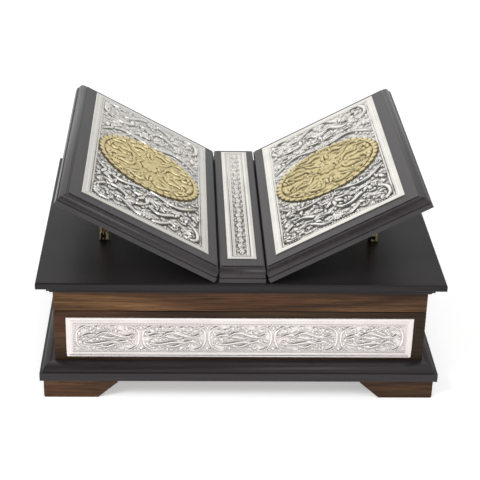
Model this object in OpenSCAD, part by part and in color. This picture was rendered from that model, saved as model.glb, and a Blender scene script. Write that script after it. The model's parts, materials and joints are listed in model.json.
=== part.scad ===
// Book box with a folding book rest on its lid.
// Origin: centre of the footprint on the floor. +X to the reader's right, +Y to the back, +Z up.
// The lid is modelled closed and both leaves are modelled raised on their props.

/* [Case] */
// Width of the lid board, left to right
lid_w = 340; // [300:1:420]
// Depth of the lid board, front to back
lid_d = 260; // [230:1:330]
// Thickness of the lid board
lid_t = 6; // [5:0.5:9]
// Radius of the lid board's upper arris
lid_top_r = 1.5; // [0.5:0.1:2.4]
// Radius of the lid board's lower arris
lid_low_r = 0.8; // [0.3:0.1:2]
// Distance from the lid's edge in to the face of the walls
wall_inset = 13; // [11:0.5:18]
// Thickness of the box walls and of the lid skirt
wall_t = 8; // [7:0.5:12]
// Height of the box walls
box_h = 60.8; // [50:0.2:90]
// Height of the lid skirt
skirt_h = 26.8; // [22:0.2:40]
// Gap between box and skirt at the seam
seam_gap = 0.4; // [0.3:0.1:1]
// Thickness of the box floor
floor_t = 4; // [3:0.5:6]
// Height of the floor above the lower edge of the walls
floor_rise = 2; // [1:0.5:5]
// Thickness of the velvet lining
lining_t = 1.2; // [0.8:0.1:2]
// Height of bare wood above the box lining
lining_drop = 1; // [0.5:0.5:5]

/* [Mouldings] */
// How far the base moulding stands out from the walls
base_out = 12.5; // [10:0.5:16]
// Height of the base moulding
base_h = 14; // [12:0.5:20]
// Height of the flat fillet along the foot of the base moulding
base_fillet_h = 7.6; // [5:0.1:9]
// Width of the ledge between that fillet and the rounded part
base_ledge = 2; // [0.5:0.1:3]
// Width of the flat on top of the base moulding
base_flat = 2.5; // [1:0.1:4]
// How far the moulding under the lid stands out from the walls
lid_mould_out = 5; // [3.5:0.5:8]
// Height of the moulding under the lid
lid_mould_h = 8; // [6:0.5:12]
// Radius of the cove along the moulding under the lid
lid_cove_r = 2.5; // [1.5:0.1:3]

/* [Feet] */
// Height of the bracket feet
foot_h = 18; // [12:0.5:30]
// Length of a foot along the front, at the top
foot_len = 63; // [45:1:75]
// How much shorter a foot is at the floor
foot_slope = 17; // [8:1:22]
// Thickness of a foot
foot_t = 12; // [9:0.5:16]
// Distance from the base moulding's face in to the foot's face
foot_inset = 3; // [1:0.5:6]
// Height of the upright end above the slope of a foot
foot_lip = 3; // [1:0.5:6]
// Chamfer of a foot's corner at the floor
foot_chamfer = 1; // [0.5:0.5:2]

/* [Spine and leaves] */
// Half width of the spine at the lid
spine_half_w = 19.3; // [17:0.1:24]
// Height of the spine
spine_h = 12.9; // [10:0.1:16]
// Distance from the lid's side edges in to the folded leaves
leaf_side_inset = 0; // [0:0.5:4]
// Thickness of a leaf
leaf_t = 11.8; // [11:0.1:15]
// Angle of the raised leaves
leaf_tilt = 28.5; // [20:0.5:35]
// Gap between lid and folded leaf
leaf_gap = 0.7; // [0.5:0.1:1.5]
// Distance from the lid's front and back edges in to leaves and spine
leaf_inset = 2; // [1:0.5:5]
// Width of the moulded edge on the three outer sides of a leaf
edge_w = 7; // [5:0.1:9]
// Width of the moulded edge of a leaf beside the spine
inner_edge_w = 3.9; // [3:0.1:5]
// Width of the moulded edge of the spine beside the leaves
spine_edge_w = 1.9; // [1.5:0.1:3]
// Height of the fillet below the moulded edge
edge_fillet_h = 4.3; // [3:0.1:5]

/* [Plates] */
// Thickness of the silver plates without their relief
plate_t = 0.8; // [0.6:0.1:1.2]
// Height of the raised lines on the plates
line_h = 0.6; // [0.3:0.1:1]
// Margin from the flat of a leaf to its plate at the outer side
plate_outer_gap = 10.1; // [8:0.1:16]
// Margin from the flat of a leaf to its plate at the spine side
plate_inner_gap = 8.1; // [5:0.1:12]
// Margin from the flat of a leaf or spine to its plate at the front
plate_front_gap = 11; // [6:0.5:16]
// Margin from the flat of a leaf or spine to its plate at the back
plate_back_gap = 4; // [3:0.5:12]
// Margin from the flat of the spine to its plate at the sides
spine_plate_gap = 5.2; // [4:0.1:7]
// Distance from the wall plates up to the seam
wall_plate_top_gap = 5.7; // [4:0.1:9]
// Height of the wall plates' lower edges above the base moulding
wall_plate_rise = 2.3; // [1:0.1:6]
// Distance from the corner of the box to the end of the wall plates
wall_plate_end = 10; // [6:0.5:16]
// Distance from the ends of a medallion to the edge of its plate
medal_end_gap = 8.1; // [8:0.1:14]
// Half width of a medallion, front to back
medal_b = 46; // [34:0.5:60]
// Height of a medallion above its plate
medal_t = 1.4; // [0.8:0.1:2]
// Width of the plain rim of a leaf plate, out to in
leaf_plate_rim = 7; // [5:0.1:7]
// Width of the plain rim of the spine plate
spine_plate_rim = 4.6; // [3:0.1:5.5]
// Width of the plain rim of a wall plate
wall_plate_rim = 3.4; // [2.5:0.1:6]
// Width of the raised lines
line_w = 0.8; // [0.5:0.1:1]

/* [Lid hinges] */
// Length of a lid hinge
lid_hinge_len = 50; // [36:1:70]
// Distance of a lid hinge from the middle of the box
lid_hinge_x = 95; // [70:1:110]
// Outer radius of the lid hinge's knuckle
lid_knuckle_r = 2.4; // [2:0.1:3]
// Radius of the lid hinge's pin
lid_pin_r = 1.1; // [0.9:0.1:1.4]
// Distance from a lid hinge flap up to the moulding under the lid
lid_flap_gap = 4; // [2:0.5:6]
// Thickness of a lid hinge flap
lid_flap_t = 1.2; // [1:0.1:1.6]

/* [Leaf hinges] */
// Length of a leaf hinge
leaf_hinge_len = 22; // [18:1:40]
// Distance of a leaf hinge from the middle of the leaf
leaf_hinge_y = 88; // [60:1:100]
// Gap between the spine and the rounded edge of a raised leaf
leaf_spine_gap = 0.4; // [0.3:0.1:1]
// Outer radius of the leaf hinge's knuckle
leaf_knuckle_r = 1.6; // [1.4:0.1:2]
// Radius of the leaf hinge's pin
leaf_pin_r = 0.8; // [0.7:0.1:1]
// Width of a leaf hinge flap
leaf_flap_w = 13.5; // [11:0.5:20]
// Thickness of a leaf hinge flap
leaf_flap_t = 0.8; // [0.6:0.1:1]

/* [Props] */
// Wood left between the end of the folded prop's recess and the leaf's edge
prop_end_wood = 4.5; // [4:0.5:12]
// Distance of each prop leg from the middle of the leaf
prop_y = 47; // [30:1:60]
// Radius of a prop leg
prop_r = 4; // [2.5:0.1:4.8]
// Radius of the bar across the top of the prop
prop_bar_r = 2.5; // [1.5:0.1:3]
// Gap between the folded prop and the lid
prop_floor_gap = 0.4; // [0.3:0.1:1]
// Radius of the prop's pins
prop_pin_r = 1; // [0.8:0.1:1.2]
// Thickness of an ear of the prop's brackets
ear_t = 1.4; // [1:0.1:2]
// Thickness of the eye at the foot of a prop leg
eye_t = 4; // [3:0.1:5]
// Length of a prop bracket along the leaf's hinge
bracket_len = 26; // [24:1:36]
// Distance from the pin of a prop to its bracket's edge at the spine side
bracket_in = 6.5; // [6:0.5:10]

/* [Fits] */
// Radial clearance of the pins in their knuckles
pin_fit = 0.05; // [0.02:0.01:0.09]
// Gap between the knuckles of a hinge
knuckle_gap = 0.3; // [0.2:0.1:0.5]
// Clearance round anything that moves
move_gap = 0.4; // [0.3:0.1:0.8]
// Gap left between the raised leaf and its prop
rest_gap = 0.15; // [0.1:0.05:0.3]

/* [Hidden] */
$fn = 48;

DARK = "#2b2326";
WALNUT = "#5d3a26";
SILVER = "#d9d7d0";
GOLD = "#d8b95c";
BRASS = "#b08d3c";
BLACKENED = "#241f1a";
VELVET = "#5e1220";

far = 600;                 // reach of the blocks that trim other shapes
nudge = 0.01;              // overshoot of a cut through a face
arris = 0.3;               // small step that eases the arris of a fillet
crown_step = 0.8;          // step from the flat of a moulded board down to its rounded part
thumb_step = 1;            // ledge between the fillet and the rounded part of a moulded edge
thumb_rise = 1.4;          // least height of a moulded board above its fillet and rounded part
outer_line = 0.35;         // place of a plate's outer line within its rim, as a share of the rim

// Heights
wall_z = foot_h;
seam_z = wall_z + box_h;
skirt_z = seam_z + seam_gap;
board_z = skirt_z + skirt_h;
lid_z = board_z + lid_t;
floor_z = wall_z + floor_rise;

// Outer half sizes of the walls
wall_x = lid_w / 2 - wall_inset;
wall_y = lid_d / 2 - wall_inset;
inside_x = wall_x - wall_t;
inside_y = wall_y - wall_t;

// Lid hinge
lid_pin_y = wall_y + lid_knuckle_r + knuckle_gap;
lid_pin_z = seam_z + seam_gap / 2;
lid_flap_w = board_z - lid_mould_h - lid_flap_gap - lid_pin_z;

// Moulded edge: ledge and radius of the rounded part, for an edge of width run on a board
function edge_step(run) = min(thumb_step, run / 4);
function edge_r(run, top, fillet) = min(run - edge_step(run), top - fillet - thumb_rise);

// Leaf hinge: the pin lies just above the lower face of the folded leaf. Its distance from the spine leaves room for
// the rounded inner edge of the raised leaf.
leaf_under = -0.2;                          // leaf's lower face, measured from the pin
leaf_start = -0.3;                          // leaf's inner edge, measured from the pin
inner_r = edge_r(inner_edge_w, leaf_t, edge_fillet_h);
inner_r_x = leaf_start + edge_step(inner_edge_w) + inner_r;
inner_r_z = leaf_under + leaf_t - crown_step - inner_r;
leaf_pin_gap = leaf_spine_gap + inner_r + inner_r_z * sin(leaf_tilt) - inner_r_x * cos(leaf_tilt);
leaf_pin_x = spine_half_w + leaf_pin_gap;
leaf_pin_z = lid_z + leaf_gap - leaf_under;
leaf_half_d = lid_d / 2 - leaf_inset;
leaf_top = leaf_under + leaf_t;
leaf_end = lid_w / 2 - leaf_side_inset - leaf_pin_x;
flat_half_d = leaf_half_d - edge_w;

// Plate on a leaf, in the leaf's own frame
plate_x0 = leaf_start + inner_edge_w + plate_inner_gap;
plate_x1 = leaf_end - edge_w - plate_outer_gap;
plate_y0 = -flat_half_d + plate_front_gap;
plate_y1 = flat_half_d - plate_back_gap;
plate_mid_x = (plate_x0 + plate_x1) / 2;
plate_mid_y = (plate_y0 + plate_y1) / 2;
medal_lobes = 40;
medal_bite = 0.035;                         // depth of the scallops, as a share of the medallion's half length
medal_a = ((plate_x1 - plate_x0) / 2 - medal_end_gap) / (1 + medal_bite);
wall_plate_h = box_h - base_h - wall_plate_rise - wall_plate_top_gap;

// Prop. Heights are measured from the leaf hinge's pin. Raised, the prop stands upright with its bar against the
// leaf; folded, it lies in the leaf's recess. Both together fix the distance prop_x of its foot from that pin.
prop_pin_w = lid_z + prop_r + prop_floor_gap - leaf_pin_z;
bar_drop = prop_bar_r + rest_gap - leaf_under;      // bar's centre below the pin's line along the leaf
tip_past_bar = prop_bar_r + 0.6;                    // end of a leg beyond the bar's centre
recess_end_gap = 0.6;                               // room left beyond the end of the folded prop
recess_foot_gap = 1.2;                              // room left at the foot of the prop
recess_roof_gap = 0.5;                              // room left over the prop at its highest in the leaf
prop_x = (leaf_end - prop_end_wood - recess_end_gap - tip_past_bar + bar_drop / cos(leaf_tilt) + prop_pin_w)
    / (1 + tan(leaf_tilt));
prop_len = (prop_x * sin(leaf_tilt) - bar_drop) / cos(leaf_tilt) - prop_pin_w;
bar_rest_x = prop_x * cos(leaf_tilt) + (prop_pin_w + prop_len) * sin(leaf_tilt);
// Height in the leaf of the end of a leg, when the leaf has been folded by the share k of its tilt
function tip_height(k) = prop_pin_w * cos(leaf_tilt * (1 - k)) - prop_x * sin(leaf_tilt * (1 - k))
    + (prop_len + tip_past_bar) * sin((90 - leaf_tilt) * (1 - k)) + prop_r * cos((90 - leaf_tilt) * (1 - k));

eye_r = prop_r - 0.2;
ear_r = prop_r - 0.1;
eye_neck = ear_r + 0.6;                             // where the round leg starts, beyond the ears
ear_y = eye_t / 2 + knuckle_gap;                    // inner face of an ear
pin_head_t = 0.6;
pin_head_out = 0.7;
recess_half_w = max(ear_y + ear_t + pin_head_t, prop_r) + move_gap;
recess_top = max([for (k = [0 : 0.02 : 1]) tip_height(k)]) + recess_roof_gap;
recess_x0 = prop_x - ear_r - recess_foot_gap;
recess_mid = bar_rest_x - 0.5;
recess_x1 = leaf_end - prop_end_wood;
bracket_out = ear_r + 0.2;

// Screws: [shank radius, head radius, head height, length under the head]
BOX_SCREW = [1.2, 2.4, lid_flap_t, 5.5];
SMALL_SCREW = [0.9, 1.7, leaf_flap_t, 3.6];
SLOT_W = 0.5;
SLOT_DEPTH = 0.35;
prop_screw_y = bracket_len / 2 - 3.5;
hinge_screw_y = 0.3;                                // screws of a hinge from its middle, as a share of its length

// ---------- shapes used more than once ----------

// Countersunk wood screw, head up at z = 0, with a slot
module screw(s) {
    difference() {
        union() {
            translate([0, 0, -s[2]]) cylinder(h = s[2], r1 = s[0], r2 = s[1]);
            translate([0, 0, -s[2] - s[3]]) cylinder(h = s[3], r = s[0]);
        }
        translate([-s[1], -SLOT_W / 2, -SLOT_DEPTH]) cube([2 * s[1], SLOT_W, 1]);
    }
}

// The space that screw fills
module screw_space(s) {
    translate([0, 0, -s[2]]) cylinder(h = s[2], r1 = s[0], r2 = s[1]);
    translate([0, 0, -s[2] - s[3]]) cylinder(h = s[3], r = s[0]);
    cylinder(h = 1, r = s[1]);
}

// One side of a rectangular frame round a box: its section (outwards, up) run along the side and mitred
module rail(half_along, half_across, reach, inwards) {
    translate([0, -half_across, 0]) intersection() {
        mirror([0, 1, 0]) rotate([90, 0, 90]) translate([0, 0, -far / 2]) linear_extrude(far) children();
        translate([0, 0, -far / 2]) linear_extrude(far) polygon([
            [-half_along - reach, -reach], [half_along + reach, -reach],
            [half_along - inwards, inwards], [-half_along + inwards, inwards]]);
    }
}

// The same rail on side 0 front, 1 right, 2 back, 3 left of the box walls
module side_rail(side, reach, inwards) {
    along = side % 2 == 0 ? wall_x : wall_y;
    across = side % 2 == 0 ? wall_y : wall_x;
    rotate([0, 0, 90 * side]) rail(along, across, reach, inwards) children();
}

// Section of a moulded board edge: flat top, rounded thumb, small step and fillet (outwards from the flat, up)
module edge_section(run, top, fillet, depth) {
    r = edge_r(run, top, fillet);
    r_x = run - edge_step(run) - r;
    r_z = top - crown_step - r;
    translate([-depth, 0]) square([depth + run, fillet - arris]);
    translate([-depth, 0]) square([depth + run - arris, fillet]);
    translate([-depth, 0]) square([depth + r_x, top]);
    translate([-depth, 0]) square([depth + r_x + r, r_z]);
    intersection() {
        translate([r_x, r_z]) circle(r);
        translate([r_x - nudge, r_z - nudge]) square(r + 1);
    }
}

// Board with moulded edges: x0..x1 by +-half_d, height top, its edges' widths at x0, at x1 and at both ends
module moulded_board(x0, x1, half_d, top, fillet, w0, w1, w_end) {
    mid = (x0 + x1) / 2;
    intersection() {
        rotate([90, 0, 0]) translate([0, 0, -far / 2]) linear_extrude(far) union() {
            translate([x1 - w1, 0]) edge_section(w1, top, fillet, x1 - w1 - mid);
            translate([x0 + w0, 0]) mirror([1, 0]) edge_section(w0, top, fillet, mid - x0 - w0);
        }
        rotate([90, 0, 90]) translate([0, 0, -far / 2]) linear_extrude(far) union() {
            translate([half_d - w_end, 0]) edge_section(w_end, top, fillet, half_d - w_end);
            mirror([1, 0]) translate([half_d - w_end, 0]) edge_section(w_end, top, fillet, half_d - w_end);
        }
    }
}

// Pin along Z with a flat head at each end, len long between the heads
module headed_pin(len, r) {
    cylinder(h = len, r = r, center = true);
    for (k = [-1, 1])
        translate([0, 0, k * (len + pin_head_t) / 2]) cylinder(h = pin_head_t, r = r + pin_head_out, center = true);
}

// Rectangular raised line on a plate
module line_frame(x0, x1, y0, y1, w, h) {
    difference() {
        translate([x0, y0, 0]) cube([x1 - x0, y1 - y0, h]);
        translate([x0 + w, y0 + w, -1]) cube([x1 - x0 - 2 * w, y1 - y0 - 2 * w, h + 2]);
    }
}

// Thin plate with two raised lines inside its rim
module lined_plate(x0, x1, y0, y1, rim) {
    translate([x0, y0, 0]) cube([x1 - x0, y1 - y0, plate_t]);
    for (inset = [rim * outer_line, rim])
        translate([0, 0, plate_t]) line_frame(x0 + inset, x1 - inset, y0 + inset, y1 - inset, line_w, line_h);
}

// Half of a butt hinge along Y with its pin at the origin. The flap runs towards +X between heights z0 and z0 + t.
// parts: the [y0, y1] stretches of knuckle that belong to this half; others: those of the other half.
module hinge_half(len, r, hole_r, z0, t, x_in, w, parts, others) {
    difference() {
        union() {
            translate([x_in, -len / 2, z0]) cube([w - x_in, len, t]);
            for (p = parts)
                translate([0, p[0], 0]) rotate([-90, 0, 0]) cylinder(h = p[1] - p[0], r = r);
        }
        for (p = others)
            translate([0, p[0] - knuckle_gap, 0]) rotate([-90, 0, 0])
                cylinder(h = p[1] - p[0] + 2 * knuckle_gap, r = r + move_gap + 0.1);
        translate([0, -len / 2 - 1, 0]) rotate([-90, 0, 0]) cylinder(h = len + 2, r = hole_r);
    }
}

function outer_knuckles(len) = [[-len / 2, -len / 6], [len / 6, len / 2]];
function middle_knuckle(len) = [[-len / 6 + knuckle_gap, len / 6 - knuckle_gap]];

// Puts the children, made for the right-hand side, on side -1 left or 1 right
module on_side(s) {
    if (s < 0) mirror([1, 0, 0]) children();
    else children();
}

// Puts the children, made in the folded leaf's frame with the hinge pin at the origin, on the raised leaf
module on_leaf(s) {
    on_side(s) translate([leaf_pin_x, 0, leaf_pin_z]) rotate([0, -leaf_tilt, 0]) children();
}

// Same origin, but fixed to the lid
module at_leaf_pin(s) {
    on_side(s) translate([leaf_pin_x, 0, leaf_pin_z]) children();
}

// Both ends of a leaf, where its hinges are
module at_both(y) {
    for (k = [-1, 1]) translate([0, k * y, 0]) children();
}

// ---------- box ----------

module wall(side) {
    color(WALNUT) difference() {
        side_rail(side, nudge, wall_t + 5) translate([-wall_t, wall_z]) square([wall_t, box_h]);
        if (side == 2) box_hinge_screw_spaces();
    }
}

module box_floor() {
    color(WALNUT) translate([-inside_x, -inside_y, floor_z]) cube([2 * inside_x, 2 * inside_y, floor_t]);
}

module box_lining() {
    top = seam_z - lining_drop;
    color(VELVET) difference() {
        translate([-inside_x, -inside_y, floor_z + floor_t])
            cube([2 * inside_x, 2 * inside_y, top - floor_z - floor_t]);
        translate([-inside_x + lining_t, -inside_y + lining_t, floor_z + floor_t + lining_t])
            cube([2 * (inside_x - lining_t), 2 * (inside_y - lining_t), box_h]);
    }
}

// Section: fillet, step and a rounded thumb that runs back to the wall
module base_section() {
    thumb_r = base_out - base_ledge - base_flat;
    thumb_x = base_flat;
    square([base_out, base_fillet_h - arris]);
    square([base_out - arris, base_fillet_h]);
    intersection() {
        translate([thumb_x, base_h - thumb_r]) circle(thumb_r);
        translate([thumb_x, 0]) square(far);
    }
    square([thumb_x + nudge, base_h]);
}

module base_moulding(side) {
    color(DARK) side_rail(side, base_out + 1, 0) translate([0, wall_z]) base_section();
}

// Bracket foot: two arms that meet in the corner, each with a sloping end
module foot(sx, sy) {
    corner_x = wall_x + base_out - foot_inset;
    corner_y = wall_y + base_out - foot_inset;
    color(WALNUT) mirror([sx < 0 ? 1 : 0, 0, 0]) mirror([0, sy < 0 ? 1 : 0, 0]) translate([corner_x, corner_y, 0]) {
        foot_arm();
        mirror([1, -1, 0]) foot_arm();
    }
}

module foot_arm() {
    rotate([90, 0, 0]) linear_extrude(foot_t) polygon([
        [-foot_len + foot_slope, 0], [-foot_chamfer, 0], [0, foot_chamfer],
        [0, foot_h], [-foot_len, foot_h], [-foot_len, foot_h - foot_lip]]);
}

// Plate on a wall, standing on the base moulding's line
module wall_plate(side) {
    half_len = (side % 2 == 0 ? wall_x : wall_y) - wall_plate_end;
    across = side % 2 == 0 ? wall_y : wall_x;
    color(SILVER) rotate([0, 0, 90 * side]) translate([0, -across, wall_z + base_h + wall_plate_rise])
        rotate([90, 0, 0]) lined_plate(-half_len, half_len, 0, wall_plate_h, wall_plate_rim);
}

// ---------- lid ----------

// Lid board with eased edges, and the seats of hinges, brackets and screws
module lid_board() {
    color(DARK) difference() {
        intersection() {
            eased_slab(lid_w, lid_d);
            rotate([0, 0, 90]) eased_slab(lid_d, lid_w);
        }
        for (s = [-1, 1]) at_leaf_pin(s) {
            at_both(leaf_hinge_y) leaf_hinge_lid_space();
            translate([prop_x, 0, 0]) at_both(prop_y) bracket_space();
        }
        lid_top_screw_spaces();
    }
}

module eased_slab(w, d) {
    rotate([90, 0, 0]) translate([0, 0, -d / 2 - 1]) linear_extrude(d + 2) difference() {
        translate([-w / 2, board_z]) square([w, lid_t]);
        for (k = [-1, 1]) {
            corner_cut(k * w / 2, lid_z, lid_top_r, -k, -1);
            corner_cut(k * w / 2, board_z, lid_low_r, -k, 1);
        }
    }
}

// Takes the corner at (x, z) off to radius r; sx and sz point from the corner into the board
module corner_cut(x, z, r, sx, sz) {
    translate([x, z]) mirror([sx < 0 ? 1 : 0, 0]) mirror([0, sz < 0 ? 1 : 0]) difference() {
        translate([-nudge, -nudge]) square(r + nudge);
        translate([r, r]) circle(r);
    }
}

module lid_lining() {
    color(VELVET) translate([-inside_x, -inside_y, board_z - lining_t])
        cube([2 * inside_x, 2 * inside_y, lining_t]);
}

module lid_moulding(side) {
    color(DARK) side_rail(side, lid_mould_out + 1, 0) translate([0, board_z - lid_mould_h]) difference() {
        square([lid_mould_out, lid_mould_h]);
        translate([lid_mould_out, 0]) circle(lid_cove_r);
    }
}

module skirt(side) {
    color(WALNUT) difference() {
        side_rail(side, nudge, wall_t + 5) translate([-wall_t, skirt_z]) square([wall_t, skirt_h]);
        if (side == 2) skirt_hinge_screw_spaces();
    }
}

module spine() {
    color(DARK) translate([0, 0, lid_z])
        moulded_board(-spine_half_w, spine_half_w, leaf_half_d, spine_h, edge_fillet_h,
            spine_edge_w, spine_edge_w, edge_w);
}

module spine_silver_plate() {
    half_w = spine_half_w - spine_edge_w - spine_plate_gap;
    color(SILVER) translate([0, 0, lid_z + spine_h])
        lined_plate(-half_w, half_w, plate_y0, plate_y1, spine_plate_rim);
}

// ---------- lid hinges ----------

// Frame of a lid hinge: its own Y runs along the pin, its own +X points up (box half: down)
module at_lid_hinge(s, up) {
    translate([s * lid_hinge_x, lid_pin_y, lid_pin_z]) rotate([0, 0, 90]) rotate([0, up ? -90 : 90, 0]) children();
}

// Heights of a lid hinge flap in that frame: its back lies on the wall
lid_flap_z = lid_knuckle_r + knuckle_gap;

module lid_hinge_half(s, up) {
    len = lid_hinge_len;
    low = up ? lid_flap_z - lid_flap_t : -lid_flap_z;
    color(BRASS) difference() {
        at_lid_hinge(s, up) hinge_half(len, lid_knuckle_r, lid_pin_r + pin_fit, low, lid_flap_t, 0.6, lid_flap_w,
            up ? middle_knuckle(len) : outer_knuckles(len), up ? outer_knuckles(len) : middle_knuckle(len));
        lid_hinge_screws_at(s, up) screw_space(BOX_SCREW);
    }
}

// Two screws through a lid hinge flap, heads to the back
module lid_hinge_screws_at(s, up) {
    for (k = [-1, 1])
        translate([s * lid_hinge_x + k * lid_hinge_len * hinge_screw_y, wall_y + lid_flap_t,
            lid_pin_z + (up ? 1 : -1) * (lid_flap_w + lid_knuckle_r) / 2])
            rotate([-90, 0, 0]) children();
}

module box_hinge_screw_spaces() {
    for (s = [-1, 1]) lid_hinge_screws_at(s, false) screw_space(BOX_SCREW);
}

module skirt_hinge_screw_spaces() {
    for (s = [-1, 1]) lid_hinge_screws_at(s, true) screw_space(BOX_SCREW);
}

module box_hinge_screws() {
    color(BRASS) for (s = [-1, 1]) lid_hinge_screws_at(s, false) screw(BOX_SCREW);
}

module lid_hinge_screws() {
    color(BRASS) for (s = [-1, 1]) lid_hinge_screws_at(s, true) screw(BOX_SCREW);
}

module lid_hinge_pins() {
    color(BRASS) for (s = [-1, 1]) translate([s * lid_hinge_x, lid_pin_y, lid_pin_z]) rotate([0, 90, 0])
        headed_pin(lid_hinge_len, lid_pin_r);
}

// ---------- leaf hinges ----------

leaf_flap_low = -leaf_gap + leaf_under - leaf_flap_t;    // lower face of the flap let into the lid

leaf_flap_in = 1.2;                                      // reach of that flap past the pin, towards the spine
leaf_hinge_half = leaf_hinge_len / 2 + 0.2;              // half the length of a hinge's seat

// Seat of one hinge in the lid: a shallow pocket and a groove under the knuckle
module leaf_hinge_lid_space() {
    half = leaf_hinge_half;
    translate([-leaf_flap_in, -half, leaf_flap_low]) cube([leaf_flap_w + leaf_flap_in, 2 * half, far]);
    translate([0, -half, 0]) rotate([-90, 0, 0]) cylinder(h = 2 * half, r = leaf_knuckle_r + move_gap);
}

// Seat of one hinge in the leaf
module leaf_hinge_leaf_space() {
    half = leaf_hinge_half;
    translate([0, -half, leaf_under - 1]) cube([leaf_flap_w, 2 * half, leaf_flap_t + 1]);
    translate([0, -half, 0]) rotate([-90, 0, 0]) cylinder(h = 2 * half, r = leaf_knuckle_r + move_gap);
}

module leaf_hinge_lid_flaps(s) {
    len = leaf_hinge_len;
    color(BRASS) at_leaf_pin(s) at_both(leaf_hinge_y) difference() {
        hinge_half(len, leaf_knuckle_r, leaf_pin_r + pin_fit, leaf_flap_low, leaf_flap_t, -leaf_flap_in, leaf_flap_w,
            outer_knuckles(len), middle_knuckle(len));
        leaf_hinge_screws_at(leaf_flap_low + leaf_flap_t) screw_space(SMALL_SCREW);
    }
}

module leaf_hinge_leaf_flaps(s) {
    len = leaf_hinge_len;
    color(BRASS) on_leaf(s) at_both(leaf_hinge_y) difference() {
        hinge_half(len, leaf_knuckle_r, leaf_pin_r + pin_fit, leaf_under, leaf_flap_t, 0, leaf_flap_w,
            middle_knuckle(len), outer_knuckles(len));
        leaf_screws_at() screw_space(SMALL_SCREW);
    }
}

leaf_screw_x = leaf_flap_w - 5;                          // screws of a flap from the pin

// Two screws of one flap, heads up at height z
module leaf_hinge_screws_at(z) {
    for (k = [-1, 1]) translate([leaf_screw_x, k * leaf_hinge_len * hinge_screw_y, z]) children();
}

// The same on the leaf, heads down
module leaf_screws_at() {
    leaf_hinge_screws_at(leaf_under) rotate([180, 0, 0]) children();
}

module leaf_hinge_pins() {
    color(BRASS) for (s = [-1, 1]) at_leaf_pin(s) at_both(leaf_hinge_y)
        rotate([90, 0, 0]) cylinder(h = leaf_hinge_len, r = leaf_pin_r, center = true);
}

module leaf_screws(s) {
    color(BRASS) on_leaf(s) at_both(leaf_hinge_y) leaf_screws_at() screw(SMALL_SCREW);
}

// ---------- screws in the top of the lid ----------

module lid_top_screws_at() {
    for (s = [-1, 1]) at_leaf_pin(s) {
        at_both(leaf_hinge_y) leaf_hinge_screws_at(leaf_flap_low + leaf_flap_t) children();
        at_both(prop_y) for (k = [-1, 1])
            translate([prop_x + (bracket_out - bracket_in) / 2, k * prop_screw_y, leaf_flap_low + leaf_flap_t])
                children();
    }
}

module lid_top_screw_spaces() {
    lid_top_screws_at() screw_space(SMALL_SCREW);
}

module lid_top_screws() {
    color(BRASS) lid_top_screws_at() screw(SMALL_SCREW);
}

// ---------- leaves ----------

module leaf(s) {
    color(DARK) on_leaf(s) difference() {
        translate([0, 0, leaf_under]) moulded_board(leaf_start, leaf_end, leaf_half_d, leaf_t, edge_fillet_h,
            inner_edge_w, edge_w, edge_w);
        at_both(leaf_hinge_y) {
            leaf_hinge_leaf_space();
            leaf_screws_at() screw_space(SMALL_SCREW);
        }
        prop_recess();
    }
}

// Recess under a leaf: two slots over the brackets and legs, and a wide part over the bar
module prop_recess() {
    low = leaf_under - 1;
    at_both(prop_y) translate([recess_x0, -recess_half_w, low])
        cube([recess_x1 - recess_x0, 2 * recess_half_w, recess_top - low]);
    translate([recess_mid, -prop_y, low]) cube([recess_x1 - recess_mid, 2 * prop_y, recess_top - low]);
}

module leaf_silver_plate(s) {
    color(SILVER) on_leaf(s) translate([0, 0, leaf_top]) lined_plate(plate_x0, plate_x1, plate_y0, plate_y1, 7);
}

// Oval disc with a scalloped edge and a raised oval line
module medallion(s) {
    line_out = 0.94;
    line_in = 0.9;
    color(GOLD) on_leaf(s) translate([plate_mid_x, plate_mid_y, leaf_top + plate_t]) {
        linear_extrude(medal_t * 0.6) oval(1, medal_bite);
        linear_extrude(medal_t) difference() {
            oval(line_out, 0);
            oval(line_in, 0);
        }
    }
}

// Oval, k times the size of the medallion, with scallops of depth bite
module oval(k, bite) {
    n = medal_lobes * 6;
    polygon([for (i = [0 : n - 1])
        let (a = 360 * i / n, grow = k * (1 + bite * abs(sin(medal_lobes * a / 2))))
        [medal_a * grow * cos(a), medal_b * grow * sin(a)]]);
}

// ---------- props ----------

// Frame of a prop's foot: pin along Y at the origin, +X towards the outside of the box
module at_prop_pin(s) {
    at_leaf_pin(s) translate([prop_x, 0, prop_pin_w]) children();
}

// Seat of one bracket in the lid
module bracket_space() {
    translate([-bracket_in, -bracket_len / 2, leaf_flap_low])
        cube([bracket_in + bracket_out, bracket_len, far]);
}

module prop_brackets(s) {
    base_low = leaf_flap_low - prop_pin_w;
    color(BLACKENED) difference() {
        at_prop_pin(s) at_both(prop_y) difference() {
            union() {
                translate([-bracket_in, -bracket_len / 2, base_low])
                    cube([bracket_in + bracket_out, bracket_len, leaf_flap_t]);
                for (k = [-1, 1]) translate([0, k * (ear_y + ear_t / 2), 0]) rotate([90, 0, 0])
                    linear_extrude(ear_t, center = true) union() {
                        circle(ear_r);
                        translate([-ear_r, base_low]) square([2 * ear_r, -base_low]);
                    }
            }
            rotate([90, 0, 0]) cylinder(h = 20, r = prop_pin_r + pin_fit, center = true);
        }
        lid_top_screw_spaces();
    }
}

module prop_pins() {
    color(BRASS) for (s = [-1, 1]) at_prop_pin(s) at_both(prop_y) rotate([90, 0, 0])
        headed_pin(2 * (ear_y + ear_t), prop_pin_r);
}

// Two legs joined by a bar that carries the raised leaf
module prop(s) {
    color(BRASS) at_prop_pin(s) {
        at_both(prop_y) prop_leg();
        translate([0, 0, prop_len]) rotate([90, 0, 0]) cylinder(h = 2 * prop_y, r = prop_bar_r, center = true);
    }
}

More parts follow.
